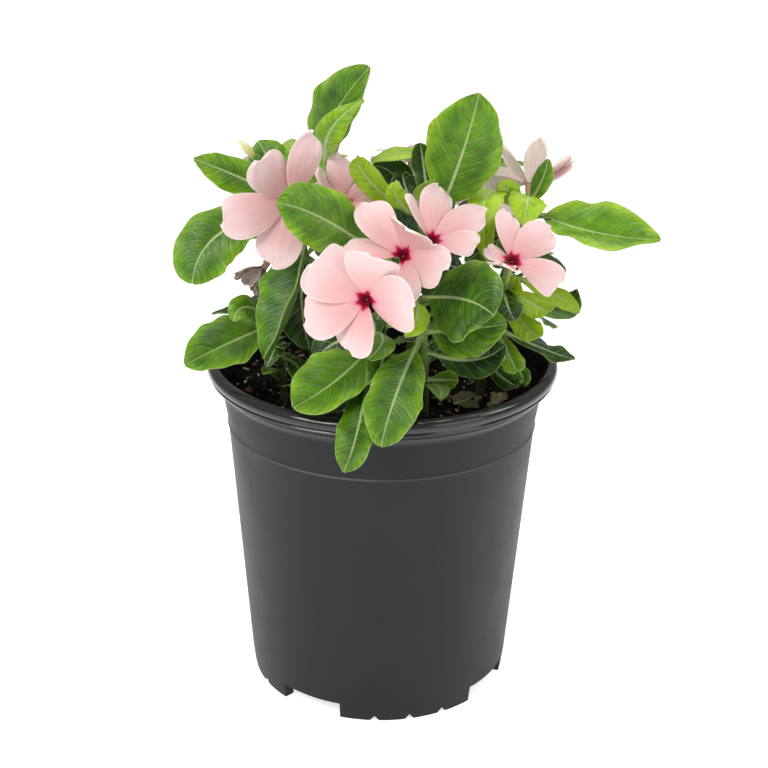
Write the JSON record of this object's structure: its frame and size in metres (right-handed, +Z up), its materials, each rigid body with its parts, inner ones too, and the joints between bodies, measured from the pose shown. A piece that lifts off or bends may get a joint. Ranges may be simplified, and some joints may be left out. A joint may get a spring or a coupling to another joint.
{
  "type": "potted flowering plant",
  "caption": "Potted Madagascar periwinkle: bushy leafy stems with pale salmon-pink five-petalled flowers in a black plastic nursery pot of soil.",
  "frame": {"origin": "on the ground under the middle of the whole plant's outline; the pot's own axis stands at x = -0.0174 m, y = -0.0008 m", "axes": "+Z up along the pot's axis, -Y towards the side seen in the picture, +X to its right"},
  "size_m": [0.2199, 0.2085, 0.3019],
  "materials": {
    "pot_plastic": "satin black moulded plastic",
    "potting_mix": "rough damp peat and bark mix",
    "foliage": "glossy green leaves with pale veins",
    "petals": "soft matt pale salmon pink with a crimson eye",
    "wilted_petals": "dry brownish pink",
    "bud_petals": "soft matt pale yellow",
    "dead_leaf": "dry matt"
  },
  "bodies": {
    "root": {"bloom_back_left": "petals", "bloom_back_low": "petals", "bloom_back_mid": "petals", "bloom_back_top": "petals", "bloom_far_right": "petals", "bloom_front": "petals", "bloom_inner_right": "petals", "bloom_middle": "petals", "bloom_right": "petals", "bloom_upper_left": "petals", "bloom_wilted": "wilted_petals", "bud_left": "bud_petals", "bud_middle": "bud_petals", "dry_scrap": "dead_leaf", "fallen_leaf": "dead_leaf", "pot": "pot_plastic", "soil": "potting_mix", "stem_back_left": "foliage", "stem_back_right": "foliage", "stem_front": "foliage", "stem_front_low": "foliage", "stem_left": "foliage", "stem_low_left": "foliage", "stem_right": "foliage", "stem_right_back": "foliage", "stem_top": "foliage", "stem_top_left": "foliage"}
  },
  "joints": []
}
